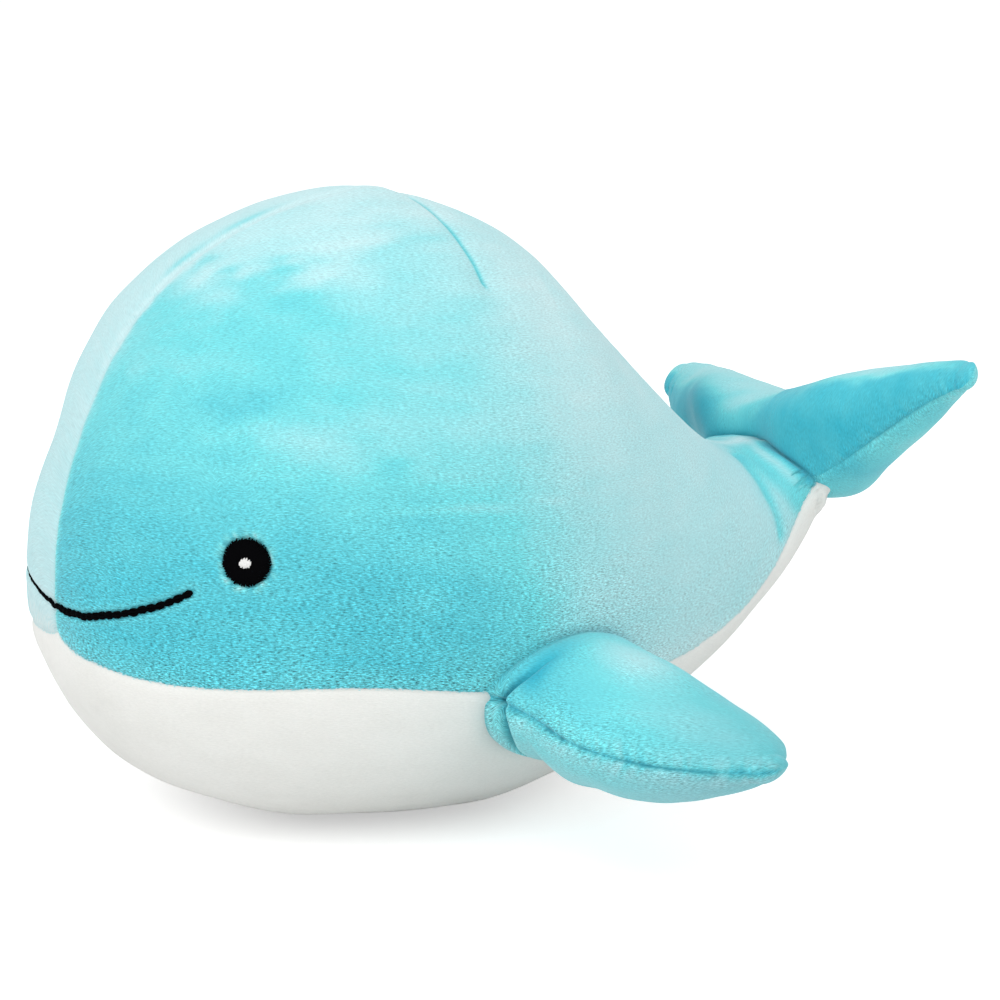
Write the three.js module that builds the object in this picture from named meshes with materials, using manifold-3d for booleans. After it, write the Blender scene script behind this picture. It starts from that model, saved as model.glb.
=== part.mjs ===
// A stuffed plush whale: sewn plush panels over fibre stuffing, two flippers, a tail fluke and a stitched face.
// Millimetres. The nose points along -Y, the tail along +Y, the whale's left side is +X and +Z is up.
// The origin is the middle of the flat that the belly rests on.

import * as THREE from 'three';
import { LoftGeometry } from 'three/addons/geometries/LoftGeometry.js';
import { mergeVertices } from 'three/addons/utils/BufferGeometryUtils.js';
import Module from 'manifold-3d';

const wasm = await Module();
wasm.setup();

// Fabric and sewing
const plush_thickness = 2.4; // backing and short pile together
const seam_gap = 0.3; // the line left between two pieces that are sewn or laid together
const overrun = 40; // how far a cutting solid reaches past what it cuts

// Body
const body_length = 255; // from the nose to the lower edge of the tail seam
const body_height = 186; // from the lowest bulge of the belly to the crown
const body_width = 168;
const nose_reach = 109.5; // from the middle of the resting flat forward to the nose
const flat_depth = 0.5; // how much of the belly's bulge the resting flat presses away
const tail_seam_width = 50;
const tail_seam_height = 19;
const tail_seam_rise = 86.3; // from the resting plane up to the middle of the tail seam
const tail_seam_lean = 45; // degrees that the tail seam's face looks up from level

// Flippers
const flipper_length = 81;
const flipper_chord = 58;
const flipper_thickness = 42;
const flipper_root_tuck = 7; // how far the filled shape starts inside the body before it is cut
const flipper_droop = 4; // degrees
const flipper_sweep = 17; // degrees
const flipper_pitch = 3; // degrees that the trailing edge sits higher than the leading edge
const flipper_lift = 25; // degrees that a flipper swings up
const flipper_drop = 15; // degrees that a flipper swings down

// Tail fluke
const fluke_span = 169;
const fluke_chord = 41;
const fluke_thickness = 37;
const fluke_curl = 5; // rise of the lobe tips above the fluke's middle
const fluke_rise = 46; // degrees that the fluke stands up from level
const fluke_roll = 6; // degrees that the left lobe sits higher
const fluke_yaw = 11; // degrees that the left lobe sits further back
const fluke_swing = 15; // degrees each way

// Stitched face
const eye_diameter = 14.4;
const eye_depth = 1.3; // how far the stitches press the pile down
const eye_rim = 0.5; // height of the disc's edge above the bottom of its dome
const eye_crown = 1.1; // height of the dome in the middle of the disc
const highlight_diameter = 3.8;
const highlight_height = 0.7;
const highlight_depth = 0.4;
const smile_thickness = 2.4;
const dart_groove_width = 1.4;

// Where the face and the darts sit: a station along the body, and degrees round it from the crown
const eye_station = 2.31;
const eye_turn = 79.5;
const smile_stations = [0.24, 0.235, 0.354, 0.63, 0.96, 1.35, 1.67, 1.88];
const smile_turns = [-25, 0, 48.9, 73, 80.8, 83.8, 84, 83];
const dart_station = 4.335;
const dart_turns = [2, 9, 16, 23, 30, 37];
const flipper_root_stations = [3.76, 5.1];

// Colours and surfaces
const blue_plush = new THREE.MeshStandardMaterial({ color: 0x6bcbdc, roughness: 0.95, metalness: 0 });
const white_plush = new THREE.MeshStandardMaterial({ color: 0xe2e3de, roughness: 0.95, metalness: 0 });
const fibre = new THREE.MeshStandardMaterial({ color: 0xf4f2ec, roughness: 1, metalness: 0 });
const black_thread = new THREE.MeshStandardMaterial({ color: 0x16181b, roughness: 0.6, metalness: 0 });
const white_thread = new THREE.MeshStandardMaterial({ color: 0xf5f5f2, roughness: 0.6, metalness: 0 });

// Solids

function solidOf(geometry) {
  const bare = new THREE.BufferGeometry();
  bare.setAttribute('position', geometry.attributes.position);
  bare.setIndex(geometry.index);
  const merged = mergeVertices(bare, seam_gap / 1000);
  return new wasm.Manifold(new wasm.Mesh({
    numProp: 3,
    vertProperties: merged.attributes.position.array,
    triVerts: new Uint32Array(merged.index.array),
  }));
}

function geometryOf(solid) {
  const { vertProperties, triVerts } = solid.getMesh();
  const geometry = new THREE.BufferGeometry();
  geometry.setAttribute('position', new THREE.BufferAttribute(new Float32Array(vertProperties), 3));
  geometry.setIndex(new THREE.BufferAttribute(new Uint32Array(triVerts), 1));
  const faceted = geometry.toNonIndexed();
  faceted.computeVertexNormals();
  return faceted;
}

function moved(geometry, matrix) {
  return geometry.clone().applyMatrix4(matrix);
}

function mirrored(solid) {
  const { vertProperties, triVerts } = solid.getMesh();
  return new wasm.Manifold(new wasm.Mesh({
    numProp: 3,
    vertProperties: vertProperties.map((value, i) => (i % 3 === 0 ? -value : value)),
    triVerts: triVerts.slice().reverse(),
  }));
}

function piece(name, solid, material) {
  const mesh = new THREE.Mesh(geometryOf(solid), material.clone());
  mesh.name = name;
  return mesh;
}

// A smooth curve through rows of numbers that stand at the given places
function rowSpline(places, rows) {
  const spline = new THREE.CubicInterpolant(places, rows.flat(), rows[0].length);
  return (place) => [...spline.evaluate(place)];
}

// Body shape. Each station holds the crown and keel places in the middle plane, as shares of the length
// from the nose and of the height from the belly's lowest point, and the half width and the side seam's
// level as shares of the width and of the station's own height. The last station is the tail seam.

const crown_shares = [
  [0, 0.347], [0.012, 0.559], [0.084, 0.79], [0.206, 0.938], [0.388, 1], [0.553, 0.922], [0.682, 0.739],
  [0.79, 0.583], [0.869, 0.508],
];
const keel_shares = [
  [0, 0.347], [0.02, 0.226], [0.11, 0.089], [0.271, 0.016], [0.453, 0.001], [0.612, 0.03], [0.755, 0.123],
  [0.884, 0.227], [0.965, 0.325],
];
const width_shares = [0, 0.185, 0.3325, 0.465, 0.5, 0.4375, 0.34, 0.245, 0.1725];
const side_seam_shares = [0.31, 0.31, 0.328, 0.33, 0.28, 0.252, 0.21, 0.233, 0.39, 0.528];
const widest_level_share = 0.49;
const upper_roundness = 2.1; // exponent of the section above its widest level: 2 is an ellipse
const lower_roundness = 2.5; // below it, where the belly is fuller

const last_station = crown_shares.length;
const tail_seam_normal = new THREE.Vector3(0, 1, 0).applyAxisAngle(
  new THREE.Vector3(1, 0, 0),
  THREE.MathUtils.degToRad(tail_seam_lean),
);
const tail_seam_up = new THREE.Vector3(0, -tail_seam_normal.z, tail_seam_normal.y);
const tail_seam_centre = new THREE.Vector3(0, body_length - nose_reach, tail_seam_rise);
tail_seam_centre.y += (tail_seam_up.y * tail_seam_height) / 2;

function middlePlace([length_share, height_share]) {
  return [length_share * body_length - nose_reach, height_share * body_height - flat_depth];
}

function bodyStations() {
  const rows = crown_shares.map((crown, i) => [
    ...middlePlace(crown),
    ...middlePlace(keel_shares[i]),
    width_shares[i] * body_width,
    side_seam_shares[i],
  ]);
  const crown_end = tail_seam_centre.clone().addScaledVector(tail_seam_up, tail_seam_height / 2);
  const keel_end = tail_seam_centre.clone().addScaledVector(tail_seam_up, -tail_seam_height / 2);
  rows.push([crown_end.y, crown_end.z, keel_end.y, keel_end.z, tail_seam_width / 2, side_seam_shares[last_station]]);
  // One station in front of the nose mirrors the first behind it, so that the nose comes out round.
  const [crown_y, crown_z, keel_y, keel_z, half_width, seam_share] = rows[1];
  rows.unshift([keel_y, keel_z, crown_y, crown_z, -half_width, seam_share]);
  return rowSpline(rows.map((row, i) => i - 1), rows);
}

const bodyStation = bodyStations();

// A point of the stuffed body's skin: a station from the nose back, and radians round it from the crown
// towards the whale's left
function skinPoint(station, turn) {
  const [crown_y, crown_z, keel_y, keel_z, half_width] = bodyStation(station);
  const up = Math.cos(turn);
  const side = Math.sin(turn);
  const roundness = up >= 0 ? upper_roundness : lower_roundness;
  const rise = Math.abs(up) ** (2 / roundness);
  const level = up >= 0
    ? widest_level_share + (1 - widest_level_share) * rise
    : widest_level_share * (1 - rise);
  return new THREE.Vector3(
    Math.sign(side) * half_width * Math.abs(side) ** (2 / roundness),
    keel_y + (crown_y - keel_y) * level,
    keel_z + (crown_z - keel_z) * level,
  );
}

function skinNormal(station, turn) {
  const step = 1 / 200;
  const along = skinPoint(station + step, turn).sub(skinPoint(station - step, turn));
  const round = skinPoint(station, turn + step).sub(skinPoint(station, turn - step));
  return round.cross(along).normalize();
}

// The way a layer lies under the skin: along the skin's normal lengthways and evenly fanned out across
// the section, so that the layers of the flattened tail don't cross at its narrow sides
function layerNormal(station, turn) {
  const [crown_y, crown_z, keel_y, keel_z] = bodyStation(station);
  const up = new THREE.Vector3(0, crown_y - keel_y, crown_z - keel_z).normalize();
  const along = new THREE.Vector3(0, up.z, -up.y);
  const lean = skinNormal(station, turn).dot(along);
  const fan = up.multiplyScalar(Math.cos(turn)).setX(Math.sin(turn));
  return fan.multiplyScalar(Math.sqrt(1 - lean * lean)).addScaledVector(along, lean);
}

function skinPlace(station, degrees) {
  return skinPoint(station, THREE.MathUtils.degToRad(degrees));
}

// The side seam's place at a station: on the skin, at the seam's own level
function seamPoint(station) {
  const [crown_y, crown_z, keel_y, keel_z, half_width, level] = bodyStation(station);
  const above = level > widest_level_share;
  const roundness = above ? upper_roundness : lower_roundness;
  const away = above
    ? (level - widest_level_share) / (1 - widest_level_share)
    : (widest_level_share - level) / widest_level_share;
  return new THREE.Vector3(
    half_width * (1 - away ** roundness) ** (1 / roundness),
    keel_y + (crown_y - keel_y) * level,
    keel_z + (crown_z - keel_z) * level,
  );
}

// The rows and the degrees round from the crown to the keel at which the body is drawn
const body_rows = [
  0.04, 0.16, 0.38, 0.7, 1.1, 1.6, 2.15, 2.75, 3.35, 3.9, 4.35, 4.85, 5.45, 6.1, 6.8, 7.5, 8.25, 9,
];
const body_turns = [0, 18, 36, 54, 72, 90, 106, 122, 138, 152, 165, 174, 180];

// The closed shape inside the skin at a depth, made as a left half and its mirror image; a negative depth
// grows it. end_reach lengthens it past the tail seam.
function bodyShape(depth, end_reach) {
  const sections = body_rows.map((station) => body_turns.map((degrees) => {
    const turn = THREE.MathUtils.degToRad(degrees);
    const point = skinPoint(station, turn).addScaledVector(layerNormal(station, turn), -depth);
    return degrees % 180 === 0 ? point.setX(0) : point;
  }));
  if (end_reach > 0) {
    const tail_ring = sections[sections.length - 1];
    sections.push(tail_ring.map((point) => point.clone().addScaledVector(tail_seam_normal, end_reach)));
  }
  const left = solidOf(new LoftGeometry(sections, { capStart: true, capEnd: true }));
  return left.add(mirrored(left));
}

// Cutting solids for the body

function block(width, depth, height, x, y, z) {
  const box = new THREE.BoxGeometry(width, depth, height);
  return solidOf(box.translate(x, y, z));
}

const reach = body_length + overrun;
const below_floor = block(2 * reach, 2 * reach, reach, 0, 0, -reach / 2);
const left_half = block(reach, 3 * reach, 3 * reach, reach / 2 + seam_gap / 2, 0, 0);

// Everything above or below the side seam's line, as seen from the side, a little way off the line
function besideSeam(offset, outer_z) {
  const line = [];
  const steps = 2 * last_station;
  for (let i = 0; i <= steps; i += 1) {
    const [crown_y, crown_z, keel_y, keel_z, , level] = bodyStation((i / steps) * last_station);
    line.push(new THREE.Vector2(keel_y + (crown_y - keel_y) * level, keel_z + (crown_z - keel_z) * level));
  }
  const first = line[0];
  const last = line[steps];
  line.unshift(new THREE.Vector2(first.x - overrun, first.y));
  line.push(new THREE.Vector2(last.x + overrun, last.y + overrun));
  const shifted = line.map((point, i) => {
    const ahead = line[Math.min(i + 1, line.length - 1)];
    const behind = line[Math.max(i - 1, 0)];
    const direction = ahead.clone().sub(behind).normalize();
    return point.clone().add(new THREE.Vector2(-direction.y, direction.x).multiplyScalar(offset));
  });
  const end = shifted[shifted.length - 1];
  const outline = new THREE.Shape([
    ...shifted,
    new THREE.Vector2(end.x, outer_z),
    new THREE.Vector2(shifted[0].x, outer_z),
  ]);
  const prism = new THREE.ExtrudeGeometry(outline, { depth: 2 * body_width, bevelEnabled: false });
  const from_side = new THREE.Matrix4().makeBasis(
    new THREE.Vector3(0, 1, 0),
    new THREE.Vector3(0, 0, 1),
    new THREE.Vector3(1, 0, 0),
  );
  return solidOf(prism.translate(0, 0, -body_width).applyMatrix4(from_side));
}

// A round thread or groove along points of the skin
function threadAlong(points, diameter, steps, sides) {
  const section = new THREE.Shape();
  section.absarc(0, 0, diameter / 2, 0, 2 * Math.PI, false);
  const path = new THREE.CatmullRomCurve3(points);
  return solidOf(new THREE.ExtrudeGeometry(section, { steps, curveSegments: sides, extrudePath: path }));
}

// Eye: a domed disc of satin stitches pressed into the pile, with a stitched highlight in its middle.
// Built about the Z axis with the skin at z = 0.

function turned(profile, sides) {
  const points = profile.map(([radius, height]) => new THREE.Vector2(radius, height));
  return new THREE.LatheGeometry(points, sides).rotateX(Math.PI / 2);
}

const eye_sides = 16;
const eye_radius = eye_diameter / 2;
const highlight_radius = highlight_diameter / 2;
const disc_floor = -eye_depth + seam_gap;

function eyeDisc() {
  return turned([
    [0, disc_floor],
    [eye_radius, disc_floor],
    [eye_radius, disc_floor + eye_rim + eye_depth - seam_gap],
    [eye_radius / 2, disc_floor + (eye_rim + eye_crown) / 2 + eye_depth - seam_gap],
    [0, eye_crown],
  ], eye_sides);
}

function eyeRecess() {
  const radius = eye_radius + seam_gap;
  return turned([[0, -eye_depth], [radius, -eye_depth], [radius, overrun], [0, overrun]], eye_sides);
}

function highlight(clearance) {
  const radius = highlight_radius + clearance;
  const low = eye_crown - highlight_depth - clearance;
  const high = eye_crown + highlight_height + clearance;
  return turned([[0, low], [radius, low], [radius, (low + high) / 2], [0, high]], eye_sides / 2);
}

const eye_frame = new THREE.Matrix4().compose(
  skinPlace(eye_station, eye_turn),
  new THREE.Quaternion().setFromUnitVectors(
    new THREE.Vector3(0, 0, 1),
    skinNormal(eye_station, THREE.MathUtils.degToRad(eye_turn)),
  ),
  new THREE.Vector3(1, 1, 1),
);

// A stuffed limb sewn from two panels: filled sections across a middle surface. A section runs from its
// leading to its trailing edge, and the two panels meet there. outline gives, at a place along the limb,
// the leading edge, the trailing edge, the height above and below the middle surface and its own rise.

const limb_sides = 12;
const limb_fullness = 1.4; // 1 gives an elliptical section, more draws the panels down to their seam

function limbShape(places, outline, depth, sectionPoint) {
  const sections = places.map((place) => {
    const [lead, trail, above, below, rise] = outline(place);
    const middle = (lead + trail) / 2;
    const half = Math.max((trail - lead) / 2 - depth, seam_gap);
    const points = [];
    for (let i = 0; i < limb_sides; i += 1) {
      const turn = (i / limb_sides) * 2 * Math.PI;
      const bulge = turn <= Math.PI ? above : below;
      const height = Math.max(bulge - depth, seam_gap) * Math.abs(Math.sin(turn)) ** limb_fullness;
      points.push(sectionPoint(place, middle + half * Math.cos(turn), rise + Math.sign(Math.sin(turn)) * height));
    }
    return points;
  });
  return solidOf(new LoftGeometry(sections, { capStart: true, capEnd: true }));
}

// Everything above or below a limb's middle surface, a little way off it
function besideMiddle(places, outline, half_width, offset, outer, sectionPoint) {
  const sections = places.map((place) => {
    const rise = outline(place)[4];
    const near = rise + offset;
    const low = Math.min(near, outer);
    const high = Math.max(near, outer);
    return [[half_width, low], [half_width, high], [-half_width, high], [-half_width, low]]
      .map(([across, height]) => sectionPoint(place, across, height));
  });
  return solidOf(new LoftGeometry(sections, { capStart: true, capEnd: true }));
}

// The limb cut clear of the body at every angle it swings through about its hinge
function clearOfBody(limb, frame, hinge, axis, angles) {
  let cleared = limb;
  const to_limb = frame.clone().invert();
  for (const degrees of angles) {
    const swing = new THREE.Matrix4().makeTranslation(hinge)
      .multiply(new THREE.Matrix4().makeRotationAxis(axis, THREE.MathUtils.degToRad(-degrees)))
      .multiply(new THREE.Matrix4().makeTranslation(hinge.clone().negate()));
    cleared = cleared.subtract(solidOf(moved(grown_body, to_limb.clone().multiply(swing))));
  }
  return cleared;
}

const grown_body = geometryOf(bodyShape(-seam_gap, seam_gap));

function swingAngles(low, high, count) {
  const angles = [];
  for (let i = 0; i <= count; i += 1) angles.push(low + ((high - low) * i) / count);
  return angles;
}

// Upper panel, lower panel and stuffing of one limb, each clear of the body
function limbPieces(parts, names, cut) {
  const shell = parts.outer.subtract(parts.inner);
  return [
    piece(names[0], cut(shell.intersect(parts.upper)), blue_plush),
    piece(names[1], cut(shell.intersect(parts.lower)), blue_plush),
    piece(names[2], cut(parts.filling), fibre),
  ];
}

// Flipper, in its own frame: X out along it, Y from its leading to its trailing edge, Z up

const flipper_places = [0, 0.2, 0.4, 0.6, 0.8, 0.93, 1];
const flipper_lead_shares = [-0.5, -0.53, -0.585, -0.55, -0.42, -0.22, 0];
const flipper_trail_shares = [0.5, 0.42, 0.455, 0.42, 0.335, 0.19, 0];
const flipper_above_shares = [0.39, 0.44, 0.41, 0.33, 0.21, 0.11, 0];
const flipper_below_shares = [0.1, 0.53, 0.56, 0.45, 0.29, 0.15, 0];

const flipperRow = rowSpline(flipper_places, flipper_places.map((place, i) => [
  flipper_lead_shares[i] * flipper_chord,
  flipper_trail_shares[i] * flipper_chord,
  flipper_above_shares[i] * flipper_thickness,
  flipper_below_shares[i] * flipper_thickness,
  0,
]));

function flipperPoint(place, across, height) {
  return new THREE.Vector3(place * flipper_length, across, height);
}

function flipperRows(depth) {
  const tuck = flipper_root_tuck / flipper_length;
  const tip = 1 - (2 * depth) / flipper_length;
  return [-tuck, 0, 0.16, 0.33, 0.5, 0.67, 0.82, 0.93, 0.985].map((share) => share * tip);
}

const flipper_front = seamPoint(flipper_root_stations[0]);
const flipper_rear = seamPoint(flipper_root_stations[1]);
const flipper_hinge = flipper_front.clone().add(flipper_rear).multiplyScalar(1 / 2);
const flipper_axis = flipper_front.clone().sub(flipper_rear).normalize();

function flipperFrame() {
  const droop = THREE.MathUtils.degToRad(flipper_droop);
  const sweep = THREE.MathUtils.degToRad(flipper_sweep);
  const out = new THREE.Vector3(
    Math.cos(droop) * Math.cos(sweep),
    Math.cos(droop) * Math.sin(sweep),
    -Math.sin(droop),
  );
  const up = out.clone().cross(flipper_axis.clone().negate()).normalize();
  up.applyAxisAngle(out, THREE.MathUtils.degToRad(flipper_pitch));
  const back = new THREE.Vector3().crossVectors(up, out);
  return new THREE.Matrix4().makeBasis(out, back, up).setPosition(flipper_hinge);
}

function flipperSolids() {
  const outline = (place) => flipperRow(Math.max(place, 0));
  const rows = flipperRows(0);
  const wide = flipper_chord + overrun;
  const high = flipper_thickness + overrun;
  return {
    outer: limbShape(rows, outline, 0, flipperPoint),
    inner: limbShape(flipperRows(plush_thickness), outline, plush_thickness, flipperPoint),
    filling: limbShape(flipperRows(plush_thickness + seam_gap), outline, plush_thickness + seam_gap, flipperPoint),
    upper: besideMiddle([-1, 2], outline, wide, seam_gap / 2, high, flipperPoint),
    lower: besideMiddle([-1, 2], outline, wide, -seam_gap / 2, -high, flipperPoint),
  };
}

// Fluke, in its own frame: X towards the left lobe, Y back from the tail seam, Z up

const fluke_places = [0, 0.2, 0.4, 0.6, 0.8, 0.93, 1];
const fluke_lead_shares = [-0.15, -0.22, -0.13, 0.11, 0.36, 0.51, 0.66];
const fluke_trail_shares = [0.53, 0.64, 0.74, 0.81, 0.86, 0.83, 0.66];
const fluke_above_shares = [0.33, 0.42, 0.42, 0.36, 0.22, 0.11, 0];
const fluke_below_shares = [0.45, 0.62, 0.55, 0.41, 0.23, 0.11, 0];

const flukeRow = rowSpline(
  [...fluke_places.slice(1).map((place) => -place).reverse(), ...fluke_places],
  [...fluke_places.slice(1).map((place, i) => i + 1).reverse(), ...fluke_places.map((place, i) => i)].map((i) => [
    fluke_lead_shares[i] * fluke_chord,
    fluke_trail_shares[i] * fluke_chord,
    fluke_above_shares[i] * fluke_thickness,
    fluke_below_shares[i] * fluke_thickness,
  ]),
);

function flukeOutline(place) {
  return [...flukeRow(place), fluke_curl * place * place];
}

function flukePoint(place, across, height) {
  return new THREE.Vector3((place * fluke_span) / 2, across, height);
}

const fluke_row_shares = [0, 0.21, 0.43, 0.65, 0.84, 0.96];

function flukeRows(depth) {
  const tip = 1 - (4 * depth) / fluke_span;
  const half = fluke_row_shares.map((share) => share * tip);
  return [...half.slice(1).map((share) => -share).reverse(), ...half];
}

function flukeSolids() {
  const deep = fluke_chord + overrun;
  const high = fluke_thickness + overrun;
  const sheet_rows = [-2, ...flukeRows(0), 2];
  return {
    outer: limbShape(flukeRows(0), flukeOutline, 0, flukePoint),
    inner: limbShape(flukeRows(plush_thickness), flukeOutline, plush_thickness, flukePoint),
    filling: limbShape(flukeRows(plush_thickness + seam_gap), flukeOutline, plush_thickness + seam_gap, flukePoint),
    upper: besideMiddle(sheet_rows, flukeOutline, deep, seam_gap / 2, high, flukePoint),
    lower: besideMiddle(sheet_rows, flukeOutline, deep, -seam_gap / 2, -high, flukePoint),
  };
}

// Body pieces

const whale = new THREE.Group();

const left_smile_path = smile_stations.map((station, i) => skinPlace(station, smile_turns[i]));
const dart_path = dart_turns.map((degrees) => skinPlace(dart_station, degrees));
const skin = bodyShape(0, 0);
const shell = skin.subtract(bodyShape(plush_thickness, overrun));

const side_panel = shell
  .intersect(besideSeam(seam_gap / 2, reach))
  .intersect(left_half)
  .subtract(solidOf(moved(eyeRecess(), eye_frame)))
  .subtract(threadAlong(left_smile_path, smile_thickness + 2 * seam_gap, 12, 6))
  .subtract(threadAlong(dart_path, dart_groove_width, 5, 5));

const belly_panel = shell
  .intersect(besideSeam(-seam_gap / 2, -reach))
  .subtract(below_floor);

whale.add(piece('belly_panel', belly_panel, white_plush));
whale.add(piece('body_stuffing', bodyShape(plush_thickness + seam_gap, 0), fibre));

// The two sides are made alike, the right one mirrored
for (const side of ['left', 'right']) {
  const half = new THREE.Group();
  half.scale.x = side === 'left' ? 1 : -1;

  half.add(piece(`side_panel_${side}`, side_panel, blue_plush));

  const eye = new THREE.Group();
  eye.applyMatrix4(eye_frame);
  const disc = solidOf(eyeDisc()).subtract(solidOf(highlight(seam_gap)));
  eye.add(piece(`eye_${side}_disc`, disc, black_thread));
  eye.add(piece(`eye_${side}_highlight`, solidOf(highlight(0)), white_thread));
  half.add(eye);

  const smile = threadAlong(left_smile_path, smile_thickness, 12, 6).intersect(left_half);
  half.add(piece(`smile_${side}`, smile, black_thread));

  const flipper = new THREE.Group();
  const flipper_frame = flipperFrame();
  flipper.applyMatrix4(flipper_frame);
  const names = ['upper_panel', 'lower_panel', 'stuffing'].map((part) => `flipper_${side}_${part}`);
  const angles = swingAngles(-flipper_drop, flipper_lift, 4);
  const cut = (solid) => clearOfBody(solid, flipper_frame, flipper_hinge, flipper_axis, angles);
  flipper.add(...limbPieces(flipperSolids(), names, cut));
  half.add(flipper);

  whale.add(half);
}

// The fluke hangs on the tail seam and swings about the seam's level middle line
const fluke = new THREE.Group();
fluke.position.copy(tail_seam_centre);
fluke.rotation.set(
  THREE.MathUtils.degToRad(fluke_rise),
  THREE.MathUtils.degToRad(-fluke_roll),
  THREE.MathUtils.degToRad(fluke_yaw),
);
fluke.updateMatrix();
const fluke_axis = new THREE.Vector3(1, 0, 0);
const fluke_angles = swingAngles(-fluke_swing, fluke_swing, 2);
const fluke_names = ['fluke_upper_panel', 'fluke_lower_panel', 'fluke_stuffing'];
fluke.add(...limbPieces(flukeSolids(), fluke_names, (solid) => (
  clearOfBody(solid, fluke.matrix, tail_seam_centre, fluke_axis, fluke_angles)
)));
whale.add(fluke);

export default whale;
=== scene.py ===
# A stuffed plush whale: blue short-pile plush over an off-white belly, two flippers, a tail fluke and a
# stitched face. The pieces are worked out in millimetres and written to the meshes in metres.
import math

import bmesh
import bpy
import numpy as np
from mathutils import Matrix, Vector, noise
from mathutils.bvhtree import BVHTree


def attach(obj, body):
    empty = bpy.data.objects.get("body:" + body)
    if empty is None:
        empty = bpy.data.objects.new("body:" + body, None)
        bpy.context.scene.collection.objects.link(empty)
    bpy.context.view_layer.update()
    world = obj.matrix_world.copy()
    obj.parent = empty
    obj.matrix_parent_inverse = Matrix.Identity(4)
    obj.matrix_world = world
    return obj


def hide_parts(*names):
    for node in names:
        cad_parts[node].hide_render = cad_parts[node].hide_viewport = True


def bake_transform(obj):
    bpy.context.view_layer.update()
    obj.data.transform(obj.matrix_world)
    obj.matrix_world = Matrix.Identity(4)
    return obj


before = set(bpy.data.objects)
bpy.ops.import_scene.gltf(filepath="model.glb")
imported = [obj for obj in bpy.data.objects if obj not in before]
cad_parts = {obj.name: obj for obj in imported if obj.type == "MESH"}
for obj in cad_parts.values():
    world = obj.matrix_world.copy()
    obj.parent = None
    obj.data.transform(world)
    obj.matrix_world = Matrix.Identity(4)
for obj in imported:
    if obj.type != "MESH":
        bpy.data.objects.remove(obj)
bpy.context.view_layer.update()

# Body form
# The shape that the sewn panels take once they are filled firmly with fibre. Everything else is sewn
# to it, so it comes first: stations run from the nose to the tail seam, turns go round from the crown.

body_length = 255
body_height = 186
body_width = 168
nose_reach = 109.5
flat_depth = 0.5
tail_seam_middle = np.array([0, 138.783, 86.3])
tail_seam_way = np.array([0, math.cos(math.radians(45)), math.sin(math.radians(45))])
tail_seam_width = 50
tail_seam_crown = (132.07, 93.02)
tail_seam_keel = (145.5, 79.58)
widest_level = 0.49
last_station = 9
crown_shares = [(0, 0.347), (0.012, 0.559), (0.084, 0.79), (0.206, 0.938), (0.388, 1), (0.553, 0.922),
                (0.682, 0.739), (0.79, 0.583), (0.869, 0.508)]
keel_shares = [(0, 0.347), (0.02, 0.226), (0.11, 0.089), (0.271, 0.016), (0.453, 0.001), (0.612, 0.03),
               (0.755, 0.123), (0.884, 0.227), (0.965, 0.325)]
width_shares = [0, 0.185, 0.3325, 0.465, 0.5, 0.4375, 0.34, 0.245, 0.1725]
side_seam_shares = [0.31, 0.31, 0.328, 0.33, 0.28, 0.252, 0.21, 0.233, 0.39, 0.528]


def smooth_rows(places, rows):
    """A smooth curve through rows of numbers that stand at the given places."""
    places, rows = np.array(places, float), np.array(rows, float)
    last = len(places) - 1

    def at(place):
        place = np.clip(np.asarray(place, float), places[0], places[-1])
        after = np.clip(np.searchsorted(places, place, side="right"), 1, last)
        before = after - 1
        start, end = places[before], places[after]
        half = (end - start) / 2
        first_row = np.where(before == 0, after, before - 1)
        first_place = np.where(before == 0, end, places[np.maximum(before - 1, 0)])
        fourth_row = np.where(after == last, before, np.minimum(after + 1, last))
        fourth_place = np.where(after == last, start, places[np.minimum(after + 1, last)])
        early = half / (start - first_place)
        late = half / (fourth_place - end)
        p = (place - start) / (end - start)
        weights = (
            early * (-p**3 + 2 * p**2 - p),
            (1 + early) * p**3 + (-1.5 - 2 * early) * p**2 + (early - 0.5) * p + 1,
            (-1 - late) * p**3 + (1.5 + late) * p**2 + 0.5 * p,
            late * (p**3 - p**2),
        )
        used = (first_row, before, after, fourth_row)
        return sum(w[..., None] * rows[r] for w, r in zip(weights, used))

    return at


def body_stations():
    rows = [
        [c[0] * body_length - nose_reach, c[1] * body_height - flat_depth,
         k[0] * body_length - nose_reach, k[1] * body_height - flat_depth, w * body_width, s]
        for c, k, w, s in zip(crown_shares, keel_shares, width_shares, side_seam_shares)
    ]
    rows.append([*tail_seam_crown, *tail_seam_keel, tail_seam_width / 2, side_seam_shares[-1]])
    crown_y, crown_z, keel_y, keel_z, half_width, seam = rows[1]
    rows.insert(0, [keel_y, keel_z, crown_y, crown_z, -half_width, seam])
    return smooth_rows(range(-1, last_station + 1), rows)


body_station = body_stations()


def skin(station, turn):
    """Points of the filled body's skin. Turns are radians round from the crown towards the left."""
    station, turn = np.broadcast_arrays(np.asarray(station, float), np.asarray(turn, float))
    crown_y, crown_z, keel_y, keel_z, half_width, _ = np.moveaxis(body_station(station), -1, 0)
    up, side = np.cos(turn), np.sin(turn)
    roundness = np.where(up >= 0, 2.1, 2.5)
    rise = np.abs(up) ** (2 / roundness)
    level = np.where(up >= 0, widest_level + (1 - widest_level) * rise, widest_level * (1 - rise))
    return np.stack([
        np.sign(side) * half_width * np.abs(side) ** (2 / roundness),
        keel_y + (crown_y - keel_y) * level,
        keel_z + (crown_z - keel_z) * level,
    ], axis=-1)


def ramp(distance, width):
    """A straight rise from 0 to 1 over the width."""
    return np.clip(distance / width, 0, 1)


def seam_turn(station):
    """How far round the side seam runs."""
    level = body_station(station)[..., 5]
    low = ramp(widest_level - level, widest_level) ** 1.25
    high = ramp(level - widest_level, 1 - widest_level) ** 1.05
    return np.arccos(high - low)


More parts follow.
